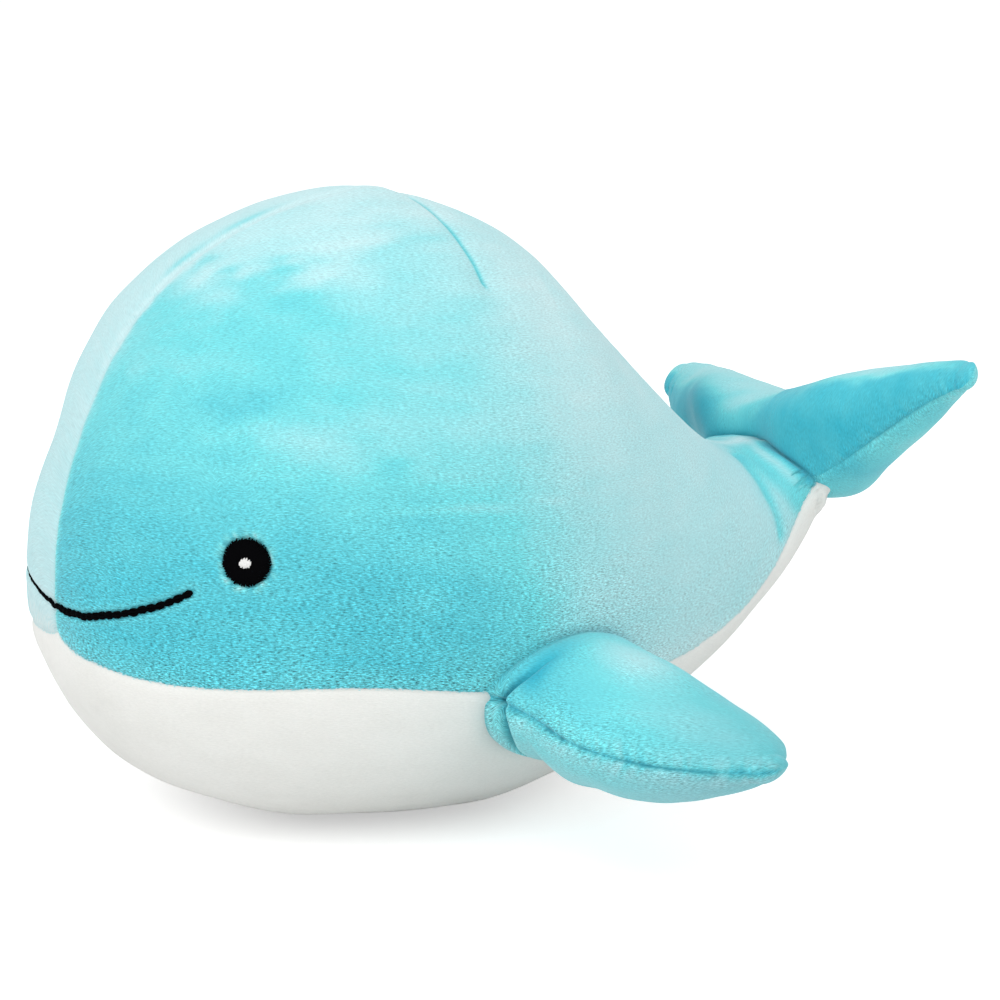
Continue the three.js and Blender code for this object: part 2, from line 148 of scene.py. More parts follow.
def summed(steps):
    """How far along a line each of its steps starts, and where the last one ends."""
    return np.concatenate([[0], np.cumsum(steps)])


def apart(first, second):
    return np.linalg.norm(first - second, axis=-1)


def steps_down(points):
    """How far each row of points is from the next."""
    return apart(points[1:], points[:-1])


def even_stations(count):
    """Stations that lie about equally far apart over the skin."""
    fine = np.linspace(0, last_station, 900)
    run = summed(sum(steps_down(skin(fine, math.radians(turn))) for turn in (15, 60, 100, 150)))
    return np.interp(np.linspace(0, run[-1], count), run, fine)


def closed_end(ring, middle, way, bulge, count):
    """Rings that close an open end as a low dome."""
    rings = []
    for i in range(1, count + 1):
        angle = i / count * math.pi / 2
        rings.append(middle + (ring - middle) * math.cos(angle) + way * bulge * math.sin(angle))
    return np.array(rings)


body_rows = 300
body_columns = 320
tail_end_rows = 10
side_seam_column = 96


def body_form():
    station = even_stations(body_rows + 1 - tail_end_rows)
    seam = seam_turn(station)[:, None]
    upper = np.linspace(0, 1, side_seam_column + 1)
    upper = upper - 0.45 * np.sin(2 * math.pi * upper) / (2 * math.pi)
    lower = np.linspace(0, 1, body_columns // 2 - side_seam_column + 1)
    lower = lower * (0.6 + 0.4 * lower)
    left = np.concatenate([seam * upper, seam + (math.pi - seam) * lower[1:]], axis=1)
    turn = np.concatenate([left, 2 * math.pi - left[:, -2:0:-1]], axis=1)
    points = skin(station[:, None], turn)
    end = closed_end(points[-1], tail_seam_middle, tail_seam_way, 3, tail_end_rows)
    return np.concatenate([points, end]), station, turn


body_points, body_row_stations, body_turns = body_form()


def tree_of(points):
    """A search tree over a closed form's surface, and whether its faces point out, 1, or in, -1."""
    rows, columns = points.shape[:2]
    corner = np.arange(rows * columns).reshape(rows, columns)
    ahead = np.roll(corner, -1, axis=1)
    faces = np.stack([corner[:-1], corner[1:], ahead[1:], ahead[:-1]], axis=-1).reshape(-1, 4)
    corners = points.reshape(-1, 3)[faces]
    area = np.cross(corners[:, 2] - corners[:, 0], corners[:, 3] - corners[:, 1])
    facing = np.sign(np.sum(area * (corners.mean(axis=1) - points.mean(axis=(0, 1)))))
    return BVHTree.FromPolygons(points.reshape(-1, 3).tolist(), faces.tolist()), facing


body_tree = tree_of(body_points[::3, ::2])


def out_of(points, tree):
    """Distance of points out of a form, less than zero inside it, with the nearest place and its normal."""
    search, facing = tree
    flat = points.reshape(-1, 3)
    place, normal, distance = np.zeros_like(flat), np.zeros_like(flat), np.zeros(len(flat))
    for i, point in enumerate(flat):
        found, square, _, far = search.find_nearest(point)
        place[i], normal[i], distance[i] = found, square, far
    normal *= facing
    side = np.sign(np.sum((flat - place) * normal, axis=1))
    shape = points.shape
    return (distance * side).reshape(shape[:-1]), place.reshape(shape), normal.reshape(shape)


# Flippers
# Each is an upper and a lower panel of blue plush, sewn edge to edge, turned and filled, then caught in
# the body's side seam. The seam thread draws both panels down into a valley, and the root is gathered.

flipper_length = 81
flipper_chord = 58
flipper_thickness = 42
flipper_tuck = 7
flipper_root_depth = 22
root_sunk = 1.2
flipper_hinge = np.array([73.668, 18.429, 50.057])
flipper_hinge_way = np.array([0.23243, -0.96503, 0.12122])
flipper_row = smooth_rows([0, 0.2, 0.4, 0.6, 0.8, 0.93, 1], [
    [-0.515, 0.5, 0.41, 0.1], [-0.53, 0.42, 0.44, 0.51], [-0.585, 0.455, 0.41, 0.5],
    [-0.55, 0.42, 0.33, 0.45], [-0.42, 0.335, 0.21, 0.29], [-0.22, 0.19, 0.11, 0.15], [0, 0, 0, 0],
])


def limb_form(row_place, outline, columns, drawn_down):
    """A filled limb in its own frame: X along it, Y from its leading to its trailing edge, Z up.
    drawn_down tells how far its panels are drawn down to their seam, and 1 is an ellipse."""
    turn = np.arange(columns) / columns * 2 * math.pi
    turn = turn - 0.3 * np.sin(2 * turn) / 2
    lead, trail, above, below, rise, along = [value[:, None] for value in outline(row_place)]
    across = (lead + trail) / 2 + (trail - lead) / 2 * np.cos(turn)
    bulge = np.where(turn <= math.pi, above, -below)
    height = rise + bulge * np.abs(np.sin(turn)) ** drawn_down
    return np.stack([along + 0 * across, across, height], axis=-1)


def rounded_tip(place, start):
    """Places whose outline rounds off the last stretch before the tip."""
    near = ramp(np.abs(place) - start, 1 - start)
    eased = 1 - (1 - start) * np.sqrt(1 - near**2)
    return np.where(near > 0, eased, np.abs(place))


def outward(points):
    """Unit normals of a closed form."""
    along = np.gradient(points, axis=0)
    round_it = np.roll(points, -1, axis=1) - np.roll(points, 1, axis=1)
    normal = np.cross(along, round_it)
    length = np.linalg.norm(normal, axis=2, keepdims=True)
    normal = normal / np.maximum(length, 1e-9)
    for end, beside in ((0, 1), (-1, -2)):
        mean = normal[beside].mean(axis=0)
        normal[end] = mean / max(np.linalg.norm(mean), 1e-9)
    middle = points.mean(axis=(0, 1))
    if np.sum((points - middle) * normal) < 0:
        normal = -normal
    return normal


def raised(points, lift):
    """A closed form with its points moved outwards."""
    return points + outward(points) * lift[..., None]


def run_round(points):
    """Millimetres round each row of a form, from its first column back to that column."""
    steps = apart(np.roll(points, -1, axis=1), points)
    return np.concatenate([np.zeros((len(points), 1)), np.cumsum(steps, axis=1)], axis=1)


def from_column(points, column):
    """Millimetres round a form from one of its columns, and along that column from its first row."""
    run = run_round(points)
    off = np.abs(run[:, :-1] - run[:, column:column + 1])
    off = np.minimum(off, run[:, -1:] - off)
    return off, summed(steps_down(points[:, column]))[:, None]


def bump_at(distance, width):
    """1 where the distance is nought, and hardly anything at twice the width."""
    return np.exp(-((distance / width) ** 2))


def spot_at(first, second):
    """A round bump, from two distances that are each divided by its reach that way."""
    return bump_at(np.hypot(first, second), 1)


def ripple(run, size, seed):
    """A soft irregular wave along a line."""
    fine = np.arange(-60, 700, 0.5)
    wave = np.array([noise.noise(Vector((s / size, seed, 0.5))) for s in fine])
    return np.interp(run, fine, wave)


def sewn_valley(points, column, depth, width, gather, seed):
    """How a seam draws the plush in along a column, with the small gathers that its thread makes."""
    off, run = from_column(points, column)
    valley = -depth * bump_at(off, width) - 0.45 * depth * bump_at(off, 3.5 * width)
    reach = bump_at(off, 5 * width) * (1 - 0.6 * bump_at(off, width))
    gathers = ripple(run + 0.25 * off, 3.4, seed) + 0.7 * ripple(run - 0.3 * off, 6.5, seed + 5)
    return valley + gather * gathers * reach


def lumps(points, size, seed):
    """Soft uneven filling felt through the cloth."""
    flat = points.reshape(-1, 3) / size + seed
    return np.array([noise.noise(Vector(point)) for point in flat]).reshape(points.shape[:-1])


def under_skin(points):
    """A limb's points, with those inside the body laid just under its skin, and their distance out of it."""
    distance, nearest, facing = out_of(points, body_tree)
    inside = (distance < -root_sunk)[..., None]
    return np.where(inside, nearest - facing * root_sunk, points), distance


def gathered(items, key, kind=float, each=1):
    """What each item of a mesh holds, as one array."""
    values = np.empty(len(items) * each, kind)
    items.foreach_get(key, values)
    return values


def stuffed_mesh(name, points, cloth, marks, row_slots=None):
    """A sphere's closed mesh moved onto a form, with its cloth map in metres. Each mark has a value at every
    point and the most that it may be."""
    rows, columns = len(points) - 1, points.shape[1]
    bm = bmesh.new()
    bmesh.ops.create_uvsphere(bm, u_segments=columns, v_segments=rows, radius=1)
    mesh = bpy.data.meshes.new(name)
    bm.to_mesh(mesh)
    bm.free()
    unit = gathered(mesh.vertices, "co", each=3).reshape(-1, 3)
    row = np.rint(np.arccos(np.clip(unit[:, 2], -1, 1)) / math.pi * rows).astype(int)
    column = np.rint(np.arctan2(unit[:, 1], unit[:, 0]) / (2 * math.pi) * columns).astype(int) % columns
    column[(row == 0) | (row == rows)] = 0
    mesh.vertices.foreach_set("co", (points[row, column] / 1000).ravel())
    for mark, (values, most) in marks.items():
        layer = mesh.attributes.new(mark, "FLOAT", "POINT")
        layer.data.foreach_set("value", np.clip(values, 0, most)[row, column].astype(np.float32))
    corner = gathered(mesh.loops, "vertex_index", int)
    sides = gathered(mesh.polygons, "loop_total", int)
    face = np.repeat(np.arange(len(sides)), sides)
    pole = (row[corner] == 0) | (row[corner] == rows)
    loop_column = column[corner].astype(float)
    high = np.zeros(len(sides))
    np.maximum.at(high, face, np.where(pole, 0, loop_column))
    low = np.full(len(sides), 1e9)
    np.minimum.at(low, face, np.where(pole, 1e9, loop_column))
    wraps = (high - low) > columns / 2
    loop_column[wraps[face] & (loop_column < columns / 2)] += columns
    middle = np.where(wraps, columns - 0.5, (high + low) / 2)
    loop_column = np.where(pole, middle[face], loop_column)
    layer = mesh.uv_layers.new(name="cloth")
    layer.data.foreach_set("uv", cloth(row[corner], loop_column).ravel() / 1000)
    if row_slots is not None:
        mesh.polygons.foreach_set("material_index", row_slots(middle).astype(np.int32))
    mesh.shade_smooth()
    volume = bmesh.new()
    volume.from_mesh(mesh)
    inside_out = volume.calc_volume(signed=True) < 0
    volume.free()
    if inside_out:
        mesh.flip_normals()
    piece = bpy.data.objects.new(name, mesh)
    bpy.context.collection.objects.link(piece)
    return piece


def cloth_map(points, column, grain_turn=0.0):
    """Where each point lies on the flat cloth: along the form, and round it from a column."""
    run = run_round(points)
    run = run - run[:, column:column + 1]
    along = summed(steps_down(points).mean(axis=1))
    turn = math.radians(grain_turn)

    def at(row, loop_column):
        low = np.floor(loop_column).astype(int)
        share = loop_column - low
        high = np.minimum(low + 1, points.shape[1])
        u = along[row]
        v = run[row, low] * (1 - share) + run[row, high] * share
        return np.stack([
            u * math.cos(turn) - v * math.sin(turn),
            u * math.sin(turn) + v * math.cos(turn),
        ], axis=-1)

    return at


def set_inputs(made, values):
    """Sets a node's inputs, by number or name, to plain values or to what other nodes put out."""
    for key, value in values.items():
        if isinstance(value, bpy.types.NodeSocket):
            made.id_data.links.new(value, made.inputs[key])
        else:
            made.inputs[key].default_value = value


def node(tree, kind, inputs, **settings):
    made = tree.nodes.new(kind)
    for key, value in settings.items():
        setattr(made, key, value)
    set_inputs(made, inputs)
    return made


def maths(operation, first, second, clamp=False):
    inputs = {0: first, 1: second}
    return node(first.id_data, "ShaderNodeMath", inputs, operation=operation, use_clamp=clamp).outputs[0]


def plus(first, second, clamp=False):
    return maths("ADD", first, second, clamp)


def times(first, second, clamp=False):
    return maths("MULTIPLY", first, second, clamp)


def mixed(share, first, second):
    inputs = {0: share, 6: first, 7: second}
    return node(share.id_data, "ShaderNodeMix", inputs, data_type="RGBA").outputs[2]


def stretched(place, scale):
    return node(place.id_data, "ShaderNodeMapping", {0: place, "Scale": scale}).outputs[0]


def cloudy(place, scale, detail, roughness=0.5, distortion=0.0):
    """Soft noise from 0 to 1."""
    return node(place.id_data, "ShaderNodeTexNoise", {
        0: place, "Scale": scale, "Detail": detail, "Roughness": roughness, "Distortion": distortion,
    }).outputs[0]


def short_pile():
    """Short velvet pile: it shows deep or pale by the way it has been stroked, over faint knit rows, with
    painted shade laid over it in its own colour.
    """
    tree = bpy.data.node_groups.new("short pile", "ShaderNodeTree")
    for in_out, kind, names in (
        ("INPUT", "NodeSocketVector", ("Cloth", "Place")),
        ("INPUT", "NodeSocketFloat", ("Stroked", "Painted Shade", "Mottle", "Grain", "Ruffled", "Fringe And Sheen")),
        ("INPUT", "NodeSocketColor", ("Deep", "Full", "Pale", "Painted Shade Colour", "Neighbour")),
        ("OUTPUT", "NodeSocketColor", ("Color",)),
        ("OUTPUT", "NodeSocketFloat", ("Roughness", "Height")),
    ):
        for name in names:
            tree.interface.new_socket(name=name, in_out=in_out, socket_type=kind)
    given = node(tree, "NodeGroupInput", {}).outputs

    strokes = cloudy(stretched(given["Cloth"], (28, 130, 1)), 1, 4, 0.6)
    uneven = plus(cloudy(given["Place"], 55, 3, 0.55), strokes)
    stroked = plus(given["Stroked"], times(plus(uneven, -1.0), given["Mottle"]), clamp=True)
    colour = mixed(times(stroked, 2.5, clamp=True), given["Deep"], given["Full"])
    high = times(plus(stroked, -0.4), 1.667, clamp=True)
    colour = mixed(high, colour, given["Pale"])

    tufts = cloudy(stretched(given["Cloth"], (800, 2900, 1)), 1, 1, 0.5, 0.5)
    specks = cloudy(given["Cloth"], 2900, 1)
    specked = plus(times(tufts, 0.8), times(specks, 0.2))
    # the knit rows of the backing only show here and there
    rows = node(tree, "ShaderNodeTexWave", {
        0: stretched(given["Cloth"], (1000, 120, 1)), "Scale": 0.33, "Distortion": 2.2, "Detail": 2,
        "Detail Scale": 1.4,
    }, wave_type="BANDS", bands_direction="X").outputs[1]
    rows = times(rows, times(plus(cloudy(given["Place"], 38, 1), -0.42), 2.2, clamp=True))
    rows = times(rows, plus(times(given["Ruffled"], 0.7), times(high, 0.3)))
    grain = times(plus(specked, -0.5), plus(given["Ruffled"], 0.15))
    grain = plus(grain, times(rows, 0.07))
    shaded = node(tree, "ShaderNodeVectorMath", {
        0: colour, "Scale": plus(times(grain, given["Grain"]), 0.97),
    }, operation="SCALE").outputs[0]
    # tufts of the cloth beyond a seam reach over it, and the same mark lays a wider pale fringe as painted
    # sheen
    across = plus(plus(given["Fringe And Sheen"], -0.9), times(plus(tufts, -0.5), 2.4))
    across = times(times(across, 4, clamp=True), given["Fringe And Sheen"])
    fringed = mixed(across, shaded, given["Neighbour"])
    # painted shade: the shade colour is laid over the pile where the painted-shade mark is high
    node(tree, "NodeGroupOutput", {
        "Color": mixed(given["Painted Shade"], fringed, given["Painted Shade Colour"]),
        "Roughness": plus(times(tufts, 0.2), 0.75),
        "Height": grain,
    })
    return tree


pile = short_pile()


def new_material(name):
    material = bpy.data.materials.new(name)
    material.use_nodes = True
    tree = material.node_tree
    return material, tree, tree.nodes["Principled BSDF"]


def bumped(height, strength, distance):
    """The normal of a surface that rises with a height, by at most the distance in metres."""
    return node(height.id_data, "ShaderNodeBump", {
        "Height": height, "Strength": strength, "Distance": distance,
    }).outputs[0]


def plush(name, deep, full, pale, crease, neighbour, mottle, grain, sheen, sheen_tint):
    """A plush's material; its colours are linear, and crease is the colour of its painted shade."""
    material, tree, surface = new_material(name)
    effect = node(tree, "ShaderNodeGroup", {}, node_tree=pile)
    colours = {"Deep": deep, "Full": full, "Pale": pale, "Painted Shade Colour": crease, "Neighbour": neighbour}
    set_inputs(effect, {key: (*colour, 1) for key, colour in colours.items()})
    marks = {"Stroked": "stroked", "Painted Shade": "painted_shade", "Ruffled": "ruffled", "Fringe And Sheen": "fringe_and_sheen"}
    for key, mark in marks.items():
        attribute = node(tree, "ShaderNodeAttribute", {}, attribute_name=mark)
        set_inputs(effect, {key: attribute.outputs["Fac"]})
    set_inputs(effect, {
        "Cloth": node(tree, "ShaderNodeUVMap", {}, uv_map="cloth").outputs[0],
        "Place": node(tree, "ShaderNodeTexCoord", {}).outputs["Object"],
        "Mottle": mottle,
        "Grain": grain,
    })
    set_inputs(surface, {
        "Base Color": effect.outputs["Color"],
        "Roughness": effect.outputs["Roughness"],
        "Normal": bumped(effect.outputs["Height"], 0.55, 0.0005),
        "Specular IOR Level": 0.15,
        "Sheen Weight": sheen,
        "Sheen Roughness": 0.4,
        "Sheen Tint": (*sheen_tint, 1),
    })
    return material


blue_plush = plush(
    "blue plush", deep=(0.047, 0.465, 0.59), full=(0.18, 0.68, 0.725), pale=(0.56, 0.785, 0.81),
    crease=(0.03, 0.26, 0.33), neighbour=(0.76, 0.765, 0.74), mottle=0.17, grain=3.2, sheen=0.3,
    sheen_tint=(0.88, 0.98, 1),
)

flipper_rows = 190
flipper_columns = 160
flipper_lead_column = flipper_columns // 2
flipper_root_rows = 6


def flipper_outline(place):
    lead, trail, above, below = flipper_row(rounded_tip(np.maximum(place, 0), 0.95)).T
    chord, thick = flipper_chord, flipper_thickness
    # its middle hangs a little under its root
    sag = 1.4 * bump_at(place - 0.5, 0.32)
    below = np.maximum(below * thick, flipper_root_depth * (1 - np.maximum(place, 0))) - sag
    return lead * chord, trail * chord, above * thick, below, -sag, place * flipper_length


def flipper_frame():
    droop, sweep = math.radians(4), math.radians(17)
    out = Vector((math.cos(droop) * math.cos(sweep), math.cos(droop) * math.sin(sweep), -math.sin(droop)))
    up = out.cross(-Vector(flipper_hinge_way)).normalized()
    up = Matrix.Rotation(math.radians(3), 3, out) @ up
    return np.array([out, up.cross(out), up])


def build_flipper(side):
    """One flipper. The right one is the same pattern mirrored, with its own gathers and lumps."""
    seed = 3.0 if side == "left" else 17.0
    tuck = flipper_tuck / flipper_length
    fine = np.linspace(-tuck, 1, 2000)
    closeness = np.cumsum(1 + 1.6 * bump_at(fine - 0.04, 0.09) + 1.4 * bump_at(fine - 1, 0.07))
    place = np.linspace(closeness[0], closeness[-1], flipper_rows + 1 - flipper_root_rows)
    place = np.interp(place, closeness, fine)
    drawn_down = 1.05 + 0.35 * ramp(place[:, None] - 0.1, 0.4)
    form = limb_form(place, flipper_outline, flipper_columns, drawn_down)
    root = closed_end(form[0], form[0].mean(axis=0), np.array([-1.0, 0, 0]), 0.5, flipper_root_rows)
    form = np.concatenate([root[::-1], form])
    place = np.concatenate([np.full(flipper_root_rows, -tuck), place])[:, None]
    turn = np.arange(flipper_columns) / flipper_columns * 360
    from_lead = np.abs(turn - 180)[None, :]
    upper = (turn < 180)[None, :]

    plump = ramp(1 - place, 0.25)
    lift = sewn_valley(form, flipper_lead_column, 1.4, 1.5, 0.22, seed) * plump
    lift += sewn_valley(form, 0, 1.1, 1.5, 0.2, seed + 1) * plump
    lift += 0.6 * lumps(form, 26, seed) + 0.25 * lumps(form, 9, seed + 2)
    # the gathered root: a crease runs round the front of its neck, with a roll between it and the body
    neck = 0.012 + np.where(upper, 0.0009 * from_lead + 0.000015 * from_lead**2,
                            0.036 * np.sin(np.radians(np.minimum(from_lead, 60) * 3)))
    window = np.clip(np.where(upper, 1.6 - from_lead / 42, 2.6 - from_lead / 30), 0, 1)
    crease = bump_at(place - neck, 0.013) * window
    lift += -2.6 * crease - 0.9 * bump_at(place - neck, 0.032) * window
    lift += 0.35 * bump_at(place - neck + 0.055, 0.03) * window
    lift -= 1.1 * spot_at((place - 0.1) / 0.06, (turn - 134) / 24)
    # the deepest dimple, where crease and edge seam meet
    lift -= 1.8 * spot_at((place - 0.018) / 0.022, from_lead / 8)
    form = raised(form, lift)

    axes = flipper_frame()
    points, distance = under_skin(flipper_hinge + form @ axes)
    pinch = bump_at(np.maximum(distance, 0), 1.6) * (distance > -1.5)
    points = raised(points, -0.5 * pinch)

    # how its pile has been stroked
    lead_off, lead_run = from_column(points, flipper_lead_column)
    across = -np.cos(np.radians(turn))[None, :]
    stroked = np.where(upper, 0.27, 0.43) + 0.0 * place
    stroked += 0.5 * spot_at((place - 0.34) / 0.17, (across + 0.02) / 0.3) * upper
    stroked += 0.2 * spot_at((place - 0.7) / 0.3, (across - 0.3) / 0.4) * upper
    stroked += 0.18 * bump_at(place, 0.06) * bump_at(across + 0.2, 0.5) * upper
    stroked -= 0.3 * spot_at((place - 0.12) / 0.06, (turn - 128) / 24)
    stroked += 0.12 * bump_at(place - 0.85, 0.2)
    stroked += 0.12 * bump_at(across - 0.55, 0.25) * (turn > 180)
    stroked += 0.1 * bump_at(lead_off - 4, 3)
    stroked += 0.22 * ripple(lead_run + 0.6 * lead_off, 1.1, seed + 8) * bump_at(lead_off, 5)
    # painted shade: the neck crease is drawn in the deep colour too
    stroked -= 0.2 * bump_at(lead_off, 1.3) + 0.35 * crease
    ruffled = 0.18 + 0.55 * bump_at(lead_off, 8) + 0.4 * bump_at(place, 0.05)
    ruffled += 0.3 * lumps(points, 12, seed + 9)
    # painted shade along the edge seam, heavier in places as if it gaped, in the neck crease and where the
    # flipper meets the body, with the lower panel and the part towards the tip painted darker
    seam_shade = np.clip(0.55 + 1.3 * ripple(lead_run, 2.6, seed + 12), 0.15, 1)
    seam_shade = seam_shade * np.clip((place - 0.05) / 0.3, 0.3, 1) * (place > 0.03) * plump
    painted_shade = seam_shade * bump_at(lead_off + 0.35 * ripple(lead_run, 1.3, seed + 14), 0.85) + 0.75 * crease
    painted_shade += 0.3 * bump_at(distance, 1.0) + 0.27 * ramp(place - 0.45, 0.4) + np.where(upper, 0, 0.06)
    mirror = np.array([1 if side == "left" else -1, 1, 1])
    points = points * mirror
    marks = {"stroked": (stroked, 1), "painted_shade": (painted_shade, 0.85), "ruffled": (ruffled, 1.4)}
    piece = stuffed_mesh(f"flipper_{side}", points, cloth_map(points, flipper_lead_column, 20), marks)
    piece.data.materials.append(blue_plush)
    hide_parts(*(f"flipper_{side}_{part}" for part in ("upper_panel", "lower_panel", "stuffing")))
    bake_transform(piece)
    return points


left_flipper_points = build_flipper("left")
right_flipper_points = build_flipper("right")

# Tail fluke
# An upper and a lower panel of blue plush in one piece from lobe to lobe, sewn edge to edge and filled.
# Its middle is sewn round the end of the tail, and it has settled a little to one side.

fluke_span = 166
fluke_chord = 41
fluke_thickness = 37
fluke_curl = 4.5
fluke_turns = (50, -5.4, 11)
fluke_half_rows = [
    [-0.22, 0.53, 0.48, 0.66], [-0.31, 0.6, 0.53, 0.65], [-0.13, 0.68, 0.51, 0.48], [0.15, 0.77, 0.34, 0.38],
    [0.42, 0.82, 0.165, 0.235], [0.545, 0.8, 0.055, 0.115], [0.655, 0.655, 0, 0],
]
fluke_row = smooth_rows([-1, -0.93, -0.8, -0.6, -0.4, -0.2, 0, 0.2, 0.4, 0.6, 0.8, 0.93, 1],
                        fluke_half_rows[:0:-1] + fluke_half_rows)
fluke_rows = 210
fluke_columns = 160
fluke_lead_column = fluke_columns // 2


def fluke_outline(place):
    lead, trail, above, below = fluke_row(rounded_tip(place, 0.93)).T
    thick = fluke_thickness
    # the right lobe stands a little higher at its tip and is fuller at its front edge
    lead = lead - 0.23 * bump_at(place + 0.75, 0.18) + 0.08 * bump_at(place, 0.25)
    curl = fluke_curl * place**2 * np.where(place < 0, 1.4, 1)
    return (lead * fluke_chord, trail * fluke_chord, above * thick, below * thick, curl,
            place * fluke_span / 2 * np.where(place < 0, 0.975, 1))


def fluke_axes():
    x, y, z = (math.radians(turn) for turn in fluke_turns)
    turn = Matrix.Rotation(x, 3, "X") @ Matrix.Rotation(y, 3, "Y") @ Matrix.Rotation(z, 3, "Z")
    return np.array(turn.transposed())


def past(distance, softness):
    """0 before an edge and 1 past it, with a soft change between them."""
    return 1 / (1 + np.exp(-distance / softness))


def build_fluke():
    share = np.linspace(-1, 1, fluke_rows + 1)
    place = np.sign(share) * (1.3 * np.abs(share) - 0.3 * np.abs(share) ** 2.4)
    place[0], place[-1] = -1, 1
    turn = np.arange(fluke_columns) / fluke_columns * 360
    upper = (turn < 180)[None, :]
    across = -np.cos(np.radians(turn))[None, :]
    # over the tail its upper panel is pulled flat towards the seam
    flat = bump_at(place, 0.42)[:, None] * bump_at(turn - 150, 45)
    form = limb_form(place, fluke_outline, fluke_columns, 1.35 + 2.0 * flat)
    place = place[:, None]
    plump = ramp(1 - np.abs(place), 0.3)
    lift = sewn_valley(form, fluke_lead_column, 1.0, 1.4, 0.18, 31) * plump
    lift += sewn_valley(form, 0, 0.9, 1.5, 0.18, 33) * plump
    lift += 0.6 * lumps(form, 26, 7.5) + 0.2 * lumps(form, 9, 9.5)
    # short puckers by the tips, where the turned corner is crowded
    for pucker_place, pucker_across, reach in ((0.86, 0.25, 0.2), (0.93, 0.6, 0.16), (0.9, -0.3, 0.16)):
        lift -= 0.35 * spot_at((np.abs(place) - pucker_place) / 0.012, (across - pucker_across) / reach)
    form = raised(form, lift)
    points, distance = under_skin(tail_seam_middle + form @ fluke_axes())
    # the filling rounds out the corner at the root, and only the seam itself is drawn in
    near = np.maximum(distance, 0)
    corner = 0.8 * bump_at(near, 5) - 0.6 * bump_at(near, 0.9)
    points = raised(points, corner * (distance > -1.5))

    # how its pile has been stroked
    lead_off, lead_run = from_column(points, fluke_lead_column)
    streaks = ripple(across * 9 + 16 * place, 1.6, 39)
    soft = lumps(points, 9, 21.0) + 0.5 * lumps(points, 4, 22.0)
    under = 0.34 - 0.18 * bump_at(place - 0.43, 0.09) + 0.08 * bump_at(np.abs(place) - 0.95, 0.1)
    stroked = np.where(upper, 0.1, under) + 0.05 * soft
    # along the rear edge the pile stands the other way, and over more of the right lobe
    right = past(0.12 - place, 0.04)
    edge = 0.14 - 0.06 * right - (0.1 + 0.12 * right) * streaks - 0.1 * soft
    rear = past(-across - edge, 0.05 + 0.05 * right)
    left_worn = bump_at(place - 0.56, 0.2) + 0.3 * bump_at(place - 0.82, 0.12)
    right_worn = 1 - 0.5 * np.clip(-place - 0.6, 0, 0.4)
    stroked += 0.58 * rear * np.where(place > 0.12, left_worn, right_worn) * upper
    # a pale place beside the middle, and painted shade on the right lobe, which is drawn deep and darkened
    # with the shade colour
    stroked += 0.36 * upper * spot_at((place + 0.11) / 0.12, (across - 0.1) / 0.28)
    shaded = right * upper * spot_at((place + 0.47 - 0.05 * soft) / 0.25, (across - 0.26) / 0.45)
    stroked *= 1 - 0.95 * shaded
    stroked += 0.1 * ~upper * bump_at(place - 0.55, 0.1)
    stroked += 0.12 * ripple(lead_run + 0.5 * lead_off, 1.6, 38) * bump_at(lead_off, 5)
    ruffled = 0.04 + 0.28 * bump_at(lead_off, 6) + 0.1 * lumps(points, 12, 4.4)
    # painted shade along the edge seam, where the fluke meets the tail and over the right lobe
    painted_shade = 0.45 * bump_at(lead_off, 0.7) * plump + 0.3 * bump_at(distance, 0.8) + 0.4 * shaded
    marks = {"stroked": (stroked, 1), "painted_shade": (painted_shade, 0.85), "ruffled": (ruffled, 1)}
    piece = stuffed_mesh("tail_fluke", points, cloth_map(points, fluke_lead_column, 70), marks)
    piece.data.materials.append(blue_plush)
    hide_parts("fluke_upper_panel", "fluke_lower_panel", "fluke_stuffing")
    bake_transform(piece)
    return points


fluke_points = build_fluke()

# Stuffed body
# Two side panels of blue plush and one off-white belly panel, sewn along the crown and both sides and
# filled firmly. A dart takes up each side panel from the crown seam, and the face is stitched into it.

white_plush = plush(
    "off-white plush", deep=(0.7, 0.7, 0.67), full=(0.83, 0.83, 0.795), pale=(0.9, 0.9, 0.87),
    crease=(0.45, 0.5, 0.5), neighbour=(0.17, 0.66, 0.72), mottle=0.25, grain=0.3, sheen=0.2,
    sheen_tint=(1, 1, 1),
)

eye_station = 2.31
eye_turn = math.radians(79.5)
eye_radius = 6.9
smile_line = smooth_rows(range(8), [
    (0.24, -25), (0.235, 0), (0.354, 48.9), (0.63, 73), (0.96, 80.8), (1.35, 83.8), (1.67, 84), (1.88, 83),
])
dart_station = 4.335
dart_degrees = (2, 37)
tail_brush_station = 8.05
tail_roll_station = 8.3
crown_step_height = 171.5


def skin_normal(station, turn):
    step = 0.005
    round_it = skin(station, turn + step) - skin(station, turn - step)
    along = skin(station + step, turn) - skin(station - step, turn)
    normal = np.cross(round_it, along)
    return normal / np.linalg.norm(normal, axis=-1, keepdims=True)


def smile_path(count):
    """The smile from its left end to its right end: places on the skin and normals."""
    line = smile_line(np.linspace(1, 7, count))
    station, turn = line[::-1, 0], np.radians(line[::-1, 1])
    left, facing = skin(station, turn), skin_normal(station, turn)
    mirror = np.array([-1, 1, 1])
    return np.concatenate([left, left[-2::-1] * mirror]), np.concatenate([facing, facing[-2::-1] * mirror])


def off_line(points, line):
    """Distance of points from a line of places."""
    best = np.full(points.shape[:-1], 1e9)
    for start, end in zip(line[:-1], line[1:]):
        way = end - start
        share = np.clip((points - start) @ way / max(way @ way, 1e-9), 0, 1)
        best = np.minimum(best, np.linalg.norm(points - start - share[..., None] * way, axis=-1))
    return best


